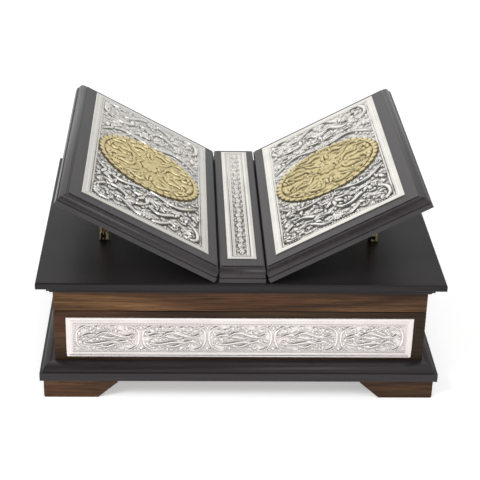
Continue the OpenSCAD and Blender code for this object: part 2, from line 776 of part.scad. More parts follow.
module prop_leg() {
    difference() {
        union() {
            rotate([90, 0, 0]) cylinder(h = eye_t, r = eye_r, center = true);
            translate([-eye_r, -eye_t / 2, 0]) cube([2 * eye_r, eye_t, eye_neck + 1]);
            translate([0, 0, eye_neck]) cylinder(h = prop_len + tip_past_bar - eye_neck, r = prop_r);
        }
        rotate([90, 0, 0]) cylinder(h = eye_t + 1, r = prop_pin_r + pin_fit, center = true);
    }
}

// ---------- nodes ----------

wall(0);  // front_wall
wall(1);  // right_wall
wall(2);  // back_wall
wall(3);  // left_wall
box_floor();
box_lining();
base_moulding(0);  // front_base_moulding
base_moulding(1);  // right_base_moulding
base_moulding(2);  // back_base_moulding
base_moulding(3);  // left_base_moulding
foot(-1, -1);  // front_left_foot
foot(1, -1);  // front_right_foot
foot(-1, 1);  // back_left_foot
foot(1, 1);  // back_right_foot
wall_plate(0);  // front_silver_plate
wall_plate(3);  // left_silver_plate
wall_plate(1);  // right_silver_plate
lid_hinge_half(-1, false);  // left_lid_hinge_box_flap
lid_hinge_half(1, false);  // right_lid_hinge_box_flap
lid_hinge_pins();
box_hinge_screws();
lid_board();
lid_lining();
lid_moulding(0);  // front_lid_moulding
lid_moulding(1);  // right_lid_moulding
lid_moulding(2);  // back_lid_moulding
lid_moulding(3);  // left_lid_moulding
skirt(0);  // front_skirt
skirt(1);  // right_skirt
skirt(2);  // back_skirt
skirt(3);  // left_skirt
spine();
spine_silver_plate();
lid_hinge_half(-1, true);  // left_lid_hinge_lid_flap
lid_hinge_half(1, true);  // right_lid_hinge_lid_flap
lid_hinge_screws();
leaf_hinge_lid_flaps(-1);  // left_leaf_hinge_lid_flaps
leaf_hinge_lid_flaps(1);  // right_leaf_hinge_lid_flaps
leaf_hinge_pins();
prop_brackets(-1);  // left_prop_brackets
prop_brackets(1);  // right_prop_brackets
prop_pins();
lid_top_screws();
leaf(-1);  // left_leaf
leaf_silver_plate(-1);  // left_leaf_silver_plate
medallion(-1);  // left_medallion
leaf_hinge_leaf_flaps(-1);  // left_leaf_hinge_flaps
leaf_screws(-1);  // left_leaf_screws
leaf(1);  // right_leaf
leaf_silver_plate(1);  // right_leaf_silver_plate
medallion(1);  // right_medallion
leaf_hinge_leaf_flaps(1);  // right_leaf_hinge_flaps
leaf_screws(1);  // right_leaf_screws
prop(-1);  // left_prop
prop(1);  // right_prop
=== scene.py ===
import math

import bpy
import numpy as np
from mathutils import Matrix, Vector
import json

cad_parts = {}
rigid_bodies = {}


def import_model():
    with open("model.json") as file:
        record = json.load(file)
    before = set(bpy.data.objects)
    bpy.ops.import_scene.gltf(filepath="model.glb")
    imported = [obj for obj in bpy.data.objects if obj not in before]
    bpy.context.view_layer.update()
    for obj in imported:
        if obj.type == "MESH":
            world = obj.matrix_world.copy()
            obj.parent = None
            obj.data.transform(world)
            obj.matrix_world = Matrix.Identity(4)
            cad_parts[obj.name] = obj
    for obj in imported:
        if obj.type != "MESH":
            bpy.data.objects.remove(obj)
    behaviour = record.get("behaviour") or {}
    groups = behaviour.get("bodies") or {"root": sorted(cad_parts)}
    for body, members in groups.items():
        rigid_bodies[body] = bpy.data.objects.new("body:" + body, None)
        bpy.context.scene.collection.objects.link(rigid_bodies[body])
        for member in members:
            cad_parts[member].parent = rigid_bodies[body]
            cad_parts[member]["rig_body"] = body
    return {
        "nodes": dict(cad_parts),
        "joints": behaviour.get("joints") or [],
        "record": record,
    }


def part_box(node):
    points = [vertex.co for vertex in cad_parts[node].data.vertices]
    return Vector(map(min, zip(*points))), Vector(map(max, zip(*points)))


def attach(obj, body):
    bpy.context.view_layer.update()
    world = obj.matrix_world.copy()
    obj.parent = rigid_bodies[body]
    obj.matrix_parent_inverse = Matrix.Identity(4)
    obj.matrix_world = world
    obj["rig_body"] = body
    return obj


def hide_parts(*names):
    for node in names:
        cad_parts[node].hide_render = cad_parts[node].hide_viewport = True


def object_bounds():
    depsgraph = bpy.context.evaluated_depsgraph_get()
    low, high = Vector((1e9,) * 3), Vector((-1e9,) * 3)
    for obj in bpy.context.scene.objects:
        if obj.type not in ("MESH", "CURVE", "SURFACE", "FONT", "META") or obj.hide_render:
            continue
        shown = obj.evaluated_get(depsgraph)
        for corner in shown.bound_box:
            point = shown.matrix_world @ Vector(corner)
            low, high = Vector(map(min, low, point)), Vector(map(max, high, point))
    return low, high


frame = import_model()
cad_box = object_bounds()
NODES = frame["nodes"]
MM = 0.001

# Plates, in millimetres
LEAF_STEP = 0.56            # distance between the points of a leaf plate
PLATE_STEP = 0.46           # the same on the smaller plates
GROUND = 0.4                # thickness of a plate at its sunk ground
RIM = 0.85                  # thickness of a plate at its plain rim
RIM_WIDTH = {"leaf": 7.0, "spine": 4.6, "wall": 5.4}
# The thinning set below is painted shade: it keeps a plate's near end darker than its far end.
SHADE_FADE_FROM = 0.3375          # share of a plate's length at which its patina starts to thin out
SHADE_FADE_SPAN = 0.45            # share of the length over which it does
GRIT = 0.05                 # unevenness of a leaf plate's ground
BEAD_PITCH = 2.4            # distance between the beads along a plate's rim

# Medallions, as shares of the radius unless the name says otherwise
MEDAL_LOBES = 40
MEDAL_BITE = 0.035          # depth of the scallops
MEDAL_GROUND = 0.35         # thickness of the ground, in millimetres
MEDAL_FIELD = 0.87          # where the arabesque ends
ROPE_AT, ROPE_HALF = 0.945, 0.053   # middle and half width of the roped border

# Velvet panels, in millimetres
PANEL_EDGE = 2.5            # width of the rounded edge
PANEL_STEP = 5.0            # distance between points inside it
PANEL_RIM = 0.15            # thickness at the very edge
PANEL_WAVE = 0.06           # unevenness of the padding
PANEL_SHORT = 0.1           # how far the crown stays below the CAD panel's face

# Eased arrises of the carried-over parts, in millimetres
FINE_EASE, BLACK_EASE, DARK_EASE, WALNUT_EASE = 0.12, 0.15, 0.45, 0.5

# Sockets of a Mix node set to vectors
MIX_A, MIX_B, MIX_OUT = 4, 5, 1

# Camera, in metres and degrees
EYE = (-0.0526, -1.1362, 0.6559)
PITCH, ROLL, YAW = 26.54, 1.5, 2.06
LENS, SENSOR = 104.5, 36.0

# Studio: stops are (cosine to the direction, grey)
SKY = 0.98
SKY_DARK = ((0.62, 1.0), (0.92, 0.1))
SKY_SIDE = ((-0.3, 0.72), (0.4, 1.05))
FLOOR_GLOW = 0.42


# ---------- node helpers ----------

class Paint:
    """A material with short calls for its nodes."""

    def __init__(self, name):
        self.material = bpy.data.materials.new(name)
        self.material.use_nodes = True
        self.tree = self.material.node_tree
        self.shader = self.tree.nodes["Principled BSDF"]

    def node(self, kind, inputs=None, **settings):
        made = self.tree.nodes.new("ShaderNode" + kind)
        for name, value in settings.items():
            setattr(made, name, value)
        for key, value in (inputs or {}).items():
            self.feed(made.inputs[key], value)
        return made

    def feed(self, socket, value):
        if isinstance(value, bpy.types.NodeSocket):
            self.tree.links.new(value, socket)
        else:
            socket.default_value = value

    def set(self, **inputs):
        for name, value in inputs.items():
            self.feed(self.shader.inputs[name.replace("_", " ")], value)

    def ramp(self, factor, stops):
        """Colour ramp; stops are (position, colour or grey)."""
        made = self.node("ValToRGB", {"Fac": factor})
        elements = made.color_ramp.elements
        while len(elements) < len(stops):
            elements.new(0.5)
        for element, (position, colour) in zip(elements, stops):
            element.position = position
            element.color = (*colour, 1) if isinstance(colour, tuple) else (colour, colour, colour, 1)
        return made.outputs["Color"]

    def mix(self, factor, a, b, how="MIX"):
        made = self.node("Mix", data_type="RGBA", blend_type=how)
        self.feed(made.inputs["Factor"], factor)
        self.feed(made.inputs["A"], a)
        self.feed(made.inputs["B"], b)
        return made.outputs["Result"]

    def math(self, how, a, b=0.0, clamp=False):
        made = self.node("Math", operation=how, use_clamp=clamp)
        self.feed(made.inputs[0], a)
        self.feed(made.inputs[1], b)
        return made.outputs[0]

    def place(self, stretch=(1, 1, 1)):
        """Points of the object in metres, scaled by stretch."""
        points = self.node("TexCoord").outputs["Object"]
        return self.node("Mapping", {"Vector": points, "Scale": stretch}).outputs["Vector"]

    def noise(self, points, scale, detail=4.0, roughness=0.55, distortion=0.0):
        return self.node("TexNoise", {"Vector": points, "Scale": scale, "Detail": detail,
                                      "Roughness": roughness, "Distortion": distortion}).outputs["Fac"]

    def bump(self, *layers):
        """Stacks layers of bump, each (height, strength, distance in metres), on the shader's normal."""
        normal = None
        for height, strength, distance in layers:
            made = self.node("Bump", {"Height": height, "Strength": strength, "Distance": distance})
            if normal is not None:
                self.feed(made.inputs["Normal"], normal)
            normal = made.outputs["Normal"]
        self.feed(self.shader.inputs["Normal"], normal)


def along(axis, length, across):
    """Stretch of a grain that runs along the axis."""
    return tuple(length if k == axis else across for k in range(3))


def grained(p, axis, length, across):
    """Points for a grain along the axis; with axis None it follows each face, as on a mitred corner."""
    if axis is not None:
        return p.place(along(axis, length, across))
    normal = p.node("SeparateXYZ", {"Vector": p.node("TexCoord").outputs["Normal"]}).outputs["X"]
    faces_sideways = p.math("GREATER_THAN", p.math("ABSOLUTE", normal), 0.7)
    made = p.node("Mix", {"Factor": faces_sideways}, data_type="VECTOR")
    p.feed(made.inputs[MIX_A], p.place(along(0, length, across)))
    p.feed(made.inputs[MIX_B], p.place(along(1, length, across)))
    return made.outputs[MIX_OUT]


# ---------- materials ----------

def dark_wood(name, axis, tone, coat, shine):
    """Satin black-brown lacquer on open-grained wood. Tone lifts the stain, coat and shine the gloss."""
    p = Paint("dark_wood_%s_%s" % (name, "xyz"[axis]))
    figure = p.noise(p.place(along(axis, 3, 30)), 1.0, 3, 0.6, 0.6)
    fibre = p.noise(p.place(along(axis, 14, 900)), 1.0, 3, 0.65)
    dark = (tone * 0.6, tone * 0.5, tone * 0.57)
    light = (tone * 1.2, tone, tone * 1.12)
    line = (tone * 2.2, tone * 1.8, tone * 2.0, 1)
    colour = p.ramp(figure, [(0.3, dark), (0.7, light)])
    colour = p.mix(p.ramp(fibre, [(0.4, 0.0), (0.75, 0.6)]), colour, line)
    cloud = p.noise(p.place((9, 9, 9)), 1.0, 2)
    p.set(Base_Color=colour, Coat_Weight=coat, Coat_Roughness=0.25, Specular_IOR_Level=shine,
          Roughness=p.ramp(p.mix(0.5, fibre, cloud), [(0.3, 0.30), (0.7, 0.42)]))
    p.bump((fibre, 0.25, 0.00012), (cloud, 0.1, 0.0008))
    return p.material


def walnut(axis, seed, tone):
    """Stained walnut with dark figure, reddish and olive clouds and fine pores; painted shade darkens it to
    the right.
    """
    p = Paint("walnut_%d" % seed)
    points = p.node("Mapping", {"Vector": grained(p, axis, 3.2, 34),
                                "Location": (seed * 3.7, seed * 1.3, seed * 2.1)}).outputs["Vector"]
    figure = p.noise(points, 1.0, 5, 0.6, 1.4)
    band = p.noise(points, 0.45, 2, 0.5, 0.6)
    fibre = p.noise(grained(p, axis, 22, 1100), 1.0, 3, 0.7)
    pores = p.noise(grained(p, axis, 70, 1700), 1.0, 1)
    shades = ((0.32, (0.036, 0.016, 0.007)), (0.45, (0.082, 0.037, 0.014)),
              (0.56, (0.145, 0.068, 0.026)), (0.7, (0.22, 0.11, 0.045)))
    olive, red = (0.060, 0.036, 0.0105, 1), (0.120, 0.034, 0.016, 1)
    dark_fibre, pore = (0.020, 0.009, 0.005, 1), (0.010, 0.006, 0.005, 1)
    colour = p.ramp(figure, [(at, tuple(tone * v for v in shade)) for at, shade in shades])
    colour = p.mix(p.ramp(band, [(0.45, 0.0), (0.62, 0.6)]), colour, olive)
    colour = p.mix(p.ramp(band, [(0.36, 0.3), (0.47, 0.0)]), colour, red)
    colour = p.mix(p.ramp(fibre, [(0.36, 0.7), (0.58, 0.0)]), colour, dark_fibre)
    colour = p.mix(p.ramp(pores, [(0.27, 0.7), (0.33, 0.0)]), colour, pore)
    # Painted shade: the colour darkens from the object's left to its right, as light falling off; the noise
    # over it is the wood's own uneven tone.
    across = p.node("SeparateXYZ", {"Vector": p.place()}).outputs["X"]
    falloff_across = p.node("MapRange", {"Value": across, "From Min": cad_box[0][0],
                                "From Max": cad_box[1][0]}).outputs["Result"]
    shade = p.math("MULTIPLY", p.ramp(falloff_across, [(0.4, 1.0), (1.0, 0.5)]),
                   p.ramp(p.noise(p.place(), 9, 2), [(0.36, 0.66), (0.6, 1.0)]))
    p.set(Base_Color=p.mix(1.0, colour, shade, "MULTIPLY"), Specular_IOR_Level=0.2,
          Roughness=p.ramp(fibre, [(0.3, 0.6), (0.7, 0.42)]))
    p.bump((fibre, 0.35, 0.00015), (pores, 0.2, 0.0001))
    return p.material


def embossed(name, plain, worn, patina, rough):
    """Pressed sheet metal. Its cavity attribute is 0.5 on level metal, less on high places, which are
    polished by wear and given a painted highlight, and more in hollows, where dark patina stays and, on
    plates that lean it, where painted shadow falls on each motif's front."""
    p = Paint(name)
    cavity = p.node("Attribute", attribute_name="cavity").outputs["Fac"]
    grain = p.noise(p.place(), 900, 3, 0.6)
    cloud = p.noise(p.place(), 38, 2)
    dull = tuple(v * 0.93 for v in plain[:3]) + (1,)
    metal = p.mix(p.ramp(cloud, [(0.38, 0.0), (0.66, 1.0)]), plain, dull)
    # High places turn brighter: polish from wear, and a painted highlight.
    metal = p.mix(p.ramp(cavity, [(0.12, 1.0), (0.42, 0.0)]), metal, worn)
    # Hollows turn dark with patina; where the cavity leans, this darkening is painted shadow.
    patina_and_shadow = p.math("MULTIPLY", p.ramp(cavity, [(0.56, 0.0), (0.70, 0.8), (0.85, 1.0)]),
                  p.ramp(grain, [(0.25, 1.0), (0.8, 0.8)]))
    p.set(Base_Color=p.mix(patina_and_shadow, metal, patina),
          Metallic=p.math("SUBTRACT", 1.0, p.math("MULTIPLY", patina_and_shadow, 0.45)),
          Roughness=p.math("ADD", p.ramp(cloud, [(0.3, rough - 0.04), (0.7, rough + 0.05)]),
                           p.math("MULTIPLY", patina_and_shadow, 0.3)))
    p.bump((grain, 0.22, 0.00012), (cloud, 0.25, 0.0006))
    return p.material


def brass(name, tarnish):
    """Polished brass with faint turning marks; tarnish, 0 to 1, darkens it in upright runs."""
    p = Paint("brass_" + name)
    cloud = p.noise(p.place(), 140, 3)
    marks = p.noise(p.place((60, 60, 2600)), 1.0, 2)
    runs = p.ramp(p.noise(p.place((420, 420, 16)), 1.0, 2), [(0.36, tarnish), (0.5, 0.0)])
    colour = p.ramp(cloud, [(0.25, (0.60, 0.50, 0.24)), (0.7, (0.76, 0.65, 0.34))])
    p.set(Base_Color=p.mix(runs, colour, (0.045, 0.036, 0.014, 1)), Metallic=0.72,
          Roughness=p.ramp(p.mix(0.5, cloud, marks), [(0.35, 0.2), (0.7, 0.36)]))
    p.bump((marks, 0.12, 0.0001))
    return p.material


def shadow_painted_brass(foot):
    """Brass painted black as shade, leaving upright streaks of brass above the height foot."""
    p = Paint("shadow_painted_brass")
    height = p.node("SeparateXYZ", {"Vector": p.place()}).outputs["Z"]
    above = p.node("MapRange", {"Value": height, "From Min": foot + 1.4 * MM,
                                "From Max": foot + 2.2 * MM})
    streaks = p.ramp(p.noise(p.place((360, 360, 14)), 1.0, 2), [(0.42, 0.0), (0.54, 1.0)])
    wear = p.math("MULTIPLY", streaks, above.outputs["Result"])
    grain = p.noise(p.place(), 420, 4, 0.7)
    # The black below the foot line and between the streaks is painted shade.
    p.set(Base_Color=p.mix(wear, (0.018, 0.016, 0.012, 1), (0.62, 0.55, 0.31, 1)), Metallic=0.75,
          Roughness=p.ramp(grain, [(0.3, 0.34), (0.7, 0.5)]))
    p.bump((grain, 0.25, 0.0001))
    return p.material


def black_metal():
    """Blackened metal, satin, a little worn."""
    p = Paint("black_metal")
    wear = p.noise(p.place(), 420, 4, 0.7)
    colour = p.ramp(wear, [(0.45, (0.012, 0.011, 0.010)), (0.75, (0.05, 0.043, 0.034))])
    p.set(Base_Color=colour, Metallic=0.85,
          Roughness=p.ramp(wear, [(0.3, 0.36), (0.7, 0.55)]))
    p.bump((wear, 0.3, 0.0001))
    return p.material


def velvet():
    """Wine-red velvet: short pile with brushed clouds."""
    p = Paint("velvet")
    pile = p.noise(p.place(), 2600, 2, 0.8)
    brushed = p.noise(p.place((16, 22, 19)), 1.0, 3, 0.6, 0.8)
    deep, wine, bright = (0.025, 0.002, 0.006, 1), (0.075, 0.006, 0.014, 1), (0.15, 0.014, 0.026, 1)
    colour = p.mix(p.ramp(brushed, [(0.35, 0.0), (0.65, 1.0)]), wine, bright)
    p.set(Base_Color=p.mix(p.ramp(pile, [(0.3, 0.6), (0.7, 0.0)]), colour, deep),
          Roughness=0.9, Sheen_Weight=0.8, Sheen_Roughness=0.4, Sheen_Tint=(0.9, 0.35, 0.42, 1))
    p.bump((pile, 0.6, 0.0003), (brushed, 0.3, 0.0008))
    return p.material


# ---------- relief ----------

def ridge(across, at, width):
    """Smooth line of height 1 where across is at."""
    return np.exp(-((across - at) / width) ** 2)


class Relief:
    """Heights in millimetres above the ground of a plate, over points x, y."""

    def __init__(self, x, y):
        self.x, self.y = x, y
        self.h = np.zeros_like(x)

    def stroke(self, path, radius, height, moat=0.0):
        """Raises a rounded ridge along path; moat sinks what is round it to the ground first."""
        path = np.atleast_2d(path)
        radius = np.broadcast_to(np.asarray(radius, float), len(path))
        low, high = path.min(0) - radius.max() - moat, path.max(0) + radius.max() + moat
        near = (self.x > low[0]) & (self.x < high[0]) & (self.y > low[1]) & (self.y < high[1])
        away = (self.x[near][:, None] - path[:, 0]) ** 2 + (self.y[near][:, None] - path[:, 1]) ** 2
        here = self.h[near]
        if moat:
            here = np.where((away < (radius + moat) ** 2).any(1), 0.0, here)
        rise = height * np.sqrt(np.clip(1 - away / radius ** 2, 0, 1)).max(1)
        self.h[near] = np.maximum(here, rise)

    def leaf(self, root, angle, length, width, bend=0.8, height=0.8, moat=0.0):
        """Pointed leaf that curls by bend radians. Gives its tip."""
        s = np.linspace(0, 1, 12)
        turn = angle + bend * s
        step = length / len(s)
        path = np.array(root) + np.stack([np.cumsum(np.cos(turn)), np.cumsum(np.sin(turn))], 1) * step
        self.stroke(path, 0.2 + width * np.sin(np.pi * s ** 0.7), height, moat)
        return path[-1]

    def rosette(self, centre, size, petals, height=0.9, start=0.0):
        """Flower with round petals round a bead."""
        centre = np.array(centre)
        for k in range(petals):
            a = start + 2 * math.pi * k / petals
            out = np.array([math.cos(a), math.sin(a)])
            petal = [centre + out * size * 0.5, centre + out * size * 0.72]
            self.stroke(petal, size * 0.26, height * 0.85)
        self.stroke(centre, size * 0.24, height)

    def scroll(self, centre, size, start, hand, turns=1.35, height=0.75):
        """Vine that winds in to a flower, with leaves along its outside."""
        s = np.linspace(0, 1, 40)
        turn = start + hand * turns * 2 * math.pi * s
        reach = size * (1 - 0.8 * s)
        path = np.array(centre) + np.stack([np.cos(turn), np.sin(turn)], 1) * reach[:, None]
        self.stroke(path, 0.075 * size * (1 - 0.3 * s), height, 0.04 * size)
        for at in (1, 7, 13, 19, 25):
            tangent = path[at + 1] - path[at]
            heading = math.atan2(tangent[1], tangent[0])
            grow = 1 - 0.4 * s[at]
            self.leaf(path[at], heading - hand * 0.8, size * 0.62 * grow, size * 0.125 * grow,
                      hand * 1.5, height * 1.15, 0.035 * size)
            self.leaf(path[at], heading + hand * 0.9, size * 0.3 * grow, size * 0.09 * grow,
                      -hand * 0.9, height)
        self.rosette(centre, size * 0.28, 6, height * 1.25, start)

    def fill(self, random, x0, x1, y0, y1, pitch, length, width, height):
        """Small curled leaves wherever the ground is still bare."""
        for u in np.arange(x0, x1, pitch):
            for v in np.arange(y0, y1, pitch):
                at = np.array((u, v)) + random.uniform(-0.3, 0.3, 2) * pitch
                turn = random.uniform(0, math.tau)
                near = (np.abs(self.x - at[0]) < length * 0.4) & (np.abs(self.y - at[1]) < length * 0.4)
                if near.any() and self.h[near].max() < 0.25 * height:
                    start = at - 0.5 * length * np.array((math.cos(turn), math.sin(turn)))
                    self.leaf(start, turn - 0.5, length, width, 1.0, height)

    def ribbon(self, *points, radius=1.2, height=1.1, moat=0.8):
        """Bold band along a cubic curve through four control points, thin at both ends."""
        s = np.linspace(0, 1, 70)[:, None]
        a, b, c, d = (np.array(q, float) for q in points)
        path = (1 - s) ** 3 * a + 3 * s * (1 - s) ** 2 * b + 3 * s ** 2 * (1 - s) * c + s ** 3 * d
        width = radius * (0.35 + 0.65 * np.sin(np.pi * s[:, 0]) ** 0.6)
        self.stroke(path, width, height, moat)
        return path

    def rim(self, x0, x1, y0, y1, width):
        """Plain flat rim with a thin line in it and a beaded line along its inner edge."""
        from_sides = np.minimum(self.x - x0, x1 - self.x)
        from_ends = np.minimum(self.y - y0, y1 - self.y)
        inside = np.minimum(from_sides, from_ends)
        flat = np.clip((width - inside) / 0.5, 0, 1) * (RIM - GROUND)
        line = 0.32 * ridge(inside, width * 0.6, 0.5) - 0.12 * ridge(inside, width * 0.78, 0.4)
        along_rim = np.where(from_sides < from_ends, self.y, self.x)
        beads = ridge(inside, width + 1.1, 0.6) * (0.62 + 0.38 * np.cos(along_rim * math.tau / BEAD_PITCH))
        band = inside < width + 2.2
        self.h = np.where(band, np.maximum(flat + line, beads), self.h)
        self.h -= 0.25 * np.clip(1 - inside / 0.8, 0, 1)


def soften(heights, cells):
    """Gaussian blur over a grid."""
    shifts = range(-3 * cells, 3 * cells + 1)
    weights = [math.exp(-k * k / (2 * cells * cells)) for k in shifts]
    for axis in (0, 1):
        heights = sum(np.roll(heights, k, axis) * w for k, w in zip(shifts, weights)) / sum(weights)
    return heights


def cavity_of(heights, depth, lean=0):
    """How deep each point lies below what is round it, over depth: 0 highest, 0.5 level, 1 deepest. With
    lean, what lies so many cells behind a point counts instead, which paints a shadow on the front of each
    motif."""
    return 0.5 + 0.5 * np.clip((soften(np.roll(heights, -lean, 1), 3) - heights) / depth, -1, 1)


# ---------- meshes ----------

def solid(name, top, low, cavity, wrap=False):
    """Closed piece under a grid of top points (n, m, 3): side walls down to the points low(edge points)
    and a flat bottom. With wrap the grid is rings from the middle outwards, closed by a middle point."""
    n, m = top.shape[:2]
    index = np.arange(n * m).reshape(n, m)
    if wrap:
        index = np.concatenate([index, index[:, :1]], 1)
    quads = np.stack([index[:-1, :-1], index[1:, :-1], index[1:, 1:], index[:-1, 1:]], -1).reshape(-1, 4)
    faces = quads.tolist()
    points = [top.reshape(-1, 3)]
    shade = [cavity.reshape(-1)]
    count = n * m
    if wrap:
        faces += [[count, int(a), int(b)] for a, b in zip(index[0, :-1], index[0, 1:])]
        points.append(top[0].mean(0)[None])
        shade.append(cavity[0, :1])
        count += 1
        loop = index[-1, :-1]
    else:
        loop = np.concatenate([index[:-1, 0], index[-1, :-1], index[:0:-1, -1], index[0, :0:-1]])
    smooth = len(faces)
    edge = np.concatenate(points)[loop]
    base = low(edge)
    points += [base, base.mean(0)[None]]
    shade += [np.zeros(len(base) + 1)]
    size = len(loop)
    for k in range(size):
        after = (k + 1) % size
        faces.append([count + k, count + after, int(loop[after]), int(loop[k])])
        faces.append([count + size, count + after, count + k])
    mesh = bpy.data.meshes.new(name)
    mesh.from_pydata(np.concatenate(points).tolist(), [], faces)
    mesh.polygons.foreach_set("use_smooth", [k < smooth for k in range(len(faces))])
    values = mesh.attributes.new("cavity", "FLOAT", "POINT")
    values.data.foreach_set("value", np.concatenate(shade).astype(np.float32))
    mesh.update()
    piece = bpy.data.objects.new(name, mesh)
    bpy.context.scene.collection.objects.link(piece)
    return piece


def local_box(node, place):
    """Lowest and highest corner of a CAD node in the frame place, in millimetres."""
    back = np.array(place.inverted())
    points = np.array([v.co for v in NODES[node].data.vertices])
    points = (points @ back[:3, :3].T + back[:3, 3]) / MM
    return points.min(0), points.max(0)


def put(points, place):
    """Millimetre points in the frame place as points of the model."""
    turn = np.array(place)
    return points * MM @ turn[:3, :3].T + turn[:3, 3]


def underside(place, low):
    """Gives the function that drops edge points square onto the height low of the frame place."""
    normal = np.array(place)[:3, 2]
    level = float(normal @ np.array(place)[:3, 3]) + low * MM
    return lambda edge: edge - np.outer(edge @ normal - level, normal)


def stands_for(piece, node, material):
    """Puts a piece in place of a CAD node, on the same body."""
    piece.data.materials.append(material)
    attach(piece, NODES[node]["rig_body"])
    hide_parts(node)


def plate(name, node, place, step, rim, pattern, material, depth, shade_fade=0.0, lean=0):
    """Embossed plate in place of a CAD plate. Its patina is full where it lies depth below what is round
    it, and thins out by a given share towards the far end: painted shade that keeps the near end darker
    and the far end brighter."""
    low, high = local_box(node, place)
    nx, ny = (int((high[k] - low[k]) / step) + 1 for k in (0, 1))
    x, y = np.meshgrid(np.linspace(low[0], high[0], nx), np.linspace(low[1], high[1], ny), indexing="ij")
    relief = Relief(x, y)
    pattern(relief, low, high)
    relief.rim(low[0], high[0], low[1], high[1], rim)
    heights = relief.h
    share = (y - low[1]) / (high[1] - low[1])
    # Painted shade: the patina thins towards the far end, so the near end stays darker.
    far = np.clip((share - SHADE_FADE_FROM) / SHADE_FADE_SPAN, 0, 1)
    # With lean, the darkening shifts onto each motif's front: painted shadow.
    patina = cavity_of(heights, depth, lean)
    patina = np.where(patina > 0.5, 0.5 + (patina - 0.5) * (1 - shade_fade * far), patina)
    top = put(np.stack([x, y, low[2] + GROUND + heights], -1).reshape(-1, 3), place).reshape(nx, ny, 3)
    piece = solid(name, top, underside(place, low[2]), patina)
    stands_for(piece, node, material)


# ---------- patterns ----------

def leaf_pattern(relief, low, high):
    """Two mirrored gardens of scrolls, before and behind the medallion, crossed by bold curved bands."""
    mid = (low + high) / 2
    half = (high - low) / 2 - RIM_WIDTH["leaf"] - 2
    random = np.random.default_rng(7)
    # Places are shares of half the garden's width and length
    rows = ((0.89, (0.17, 0.52, 0.86)), (0.66, (0.34, 0.69)), (0.5, (0.1, 0.93)))
    bands = ((2.0, 1.5, 1.2, ((0.0, 0.72), (0.3, 0.98), (0.42, 0.58), (0.8, 0.72))),
             (1.8, 1.5, 1.2, ((0.8, 0.72), (1.06, 0.8), (1.04, 1.04), (0.7, 0.98))),
             (1.8, 1.4, 1.1, ((0.05, 0.47), (0.34, 0.47), (0.5, 0.66), (0.97, 0.36))),
             (1.5, 1.4, 1.0, ((0.1, 0.98), (0.36, 0.98), (0.42, 0.8), (0.6, 0.86))))
    sprays = ((0.42, 0.83, 0.3), (0.64, 0.64, 2.4), (0.22, 0.66, 1.2), (0.88, 0.54, 0.6), (0.86, 0.9, 3.0))
    for end in (-1, 1):
        for side in (-1, 1):
            def at(u, v):
                return mid[0] + side * u * half[0], mid[1] + end * v * half[1]
            for row, (v, columns) in enumerate(rows):
                for column, u in enumerate(columns):
                    hand = side * end * (-1) ** (row + column)
                    size = 10.5 + random.uniform(-0.8, 0.8)
                    relief.scroll(at(u, v), size, random.uniform(0, math.tau), hand)
            relief.scroll(at(0.9, 0.27), 7.0, 2.0 * side, -side * end, 1.1)
            for radius, height, moat, points in bands:
                relief.ribbon(*(at(u, v) for u, v in points), radius=radius, height=height, moat=moat)
            for u, v, turn in sprays:
                for lean in (-0.8, 0.0, 0.8):
                    relief.leaf(at(u, v), (turn + lean) * side * end, 10, 1.7, 0.6 * side, 1.35, 0.9)
        for lean in (-1.1, -0.55, 0.0, 0.55, 1.1):
            root = (mid[0], mid[1] + end * 0.6 * half[1])
            relief.leaf(root, end * math.pi / 2 + lean, 15, 2.1, 0.5 * lean, 1.5, 1.0)
        relief.rosette((mid[0], mid[1] + end * 0.94 * half[1]), 5.0, 8, 1.4)
    relief.fill(random, low[0] + 9, high[0] - 9, low[1] + 9, high[1] - 9, 4.6, 5.0, 0.95, 0.9)
    a, b = medallion_half()
    oval = ((relief.x - mid[0]) / a) ** 2 + ((relief.y - mid[1]) / b) ** 2
    relief.h = np.where(oval < 1.05, 0.0, relief.h)
    relief.h = np.where(oval < 0.93, RIM - GROUND - 0.05, relief.h)
    relief.h += GRIT * random.standard_normal(relief.h.shape) * (relief.h < 0.2)


def spine_pattern(relief, low, high):
    """Narrow strip of a waving vine with a leaf in each bend and a diamond between."""
    mid = (low + high) / 2
    y0, y1 = low[1] + 9, high[1] - 9
    pitch = (y1 - y0) / 21
    y = np.linspace(y0, y1, 900)
    relief.stroke(np.stack([mid[0] + 2.1 * np.sin((y - y0) / pitch * math.pi), y], 1)[::3], 0.6, 1.0)
    for k in range(21):
        centre = y0 + (k + 0.5) * pitch
        side = 1 if k % 2 == 0 else -1
        relief.leaf((mid[0] + 2.0 * side, centre), math.pi / 2 + side * 2.0, 5.2, 0.95, side * 0.9, 1.2)
        relief.leaf((mid[0] + 2.0 * side, centre), -math.pi / 2 - side * 2.0, 5.2, 0.95, -side * 0.9, 1.2)
        relief.rosette((mid[0] - 2.2 * side, centre), 2.1, 4, 1.2, math.pi / 4)
    for side in (-1, 1):
        relief.h = np.maximum(relief.h, 0.6 * ridge(relief.x, mid[0] + side * 5.3, 0.45))
    outside = np.abs(relief.x - mid[0]) > 6.0
    relief.h = np.where(outside, RIM - GROUND, relief.h)


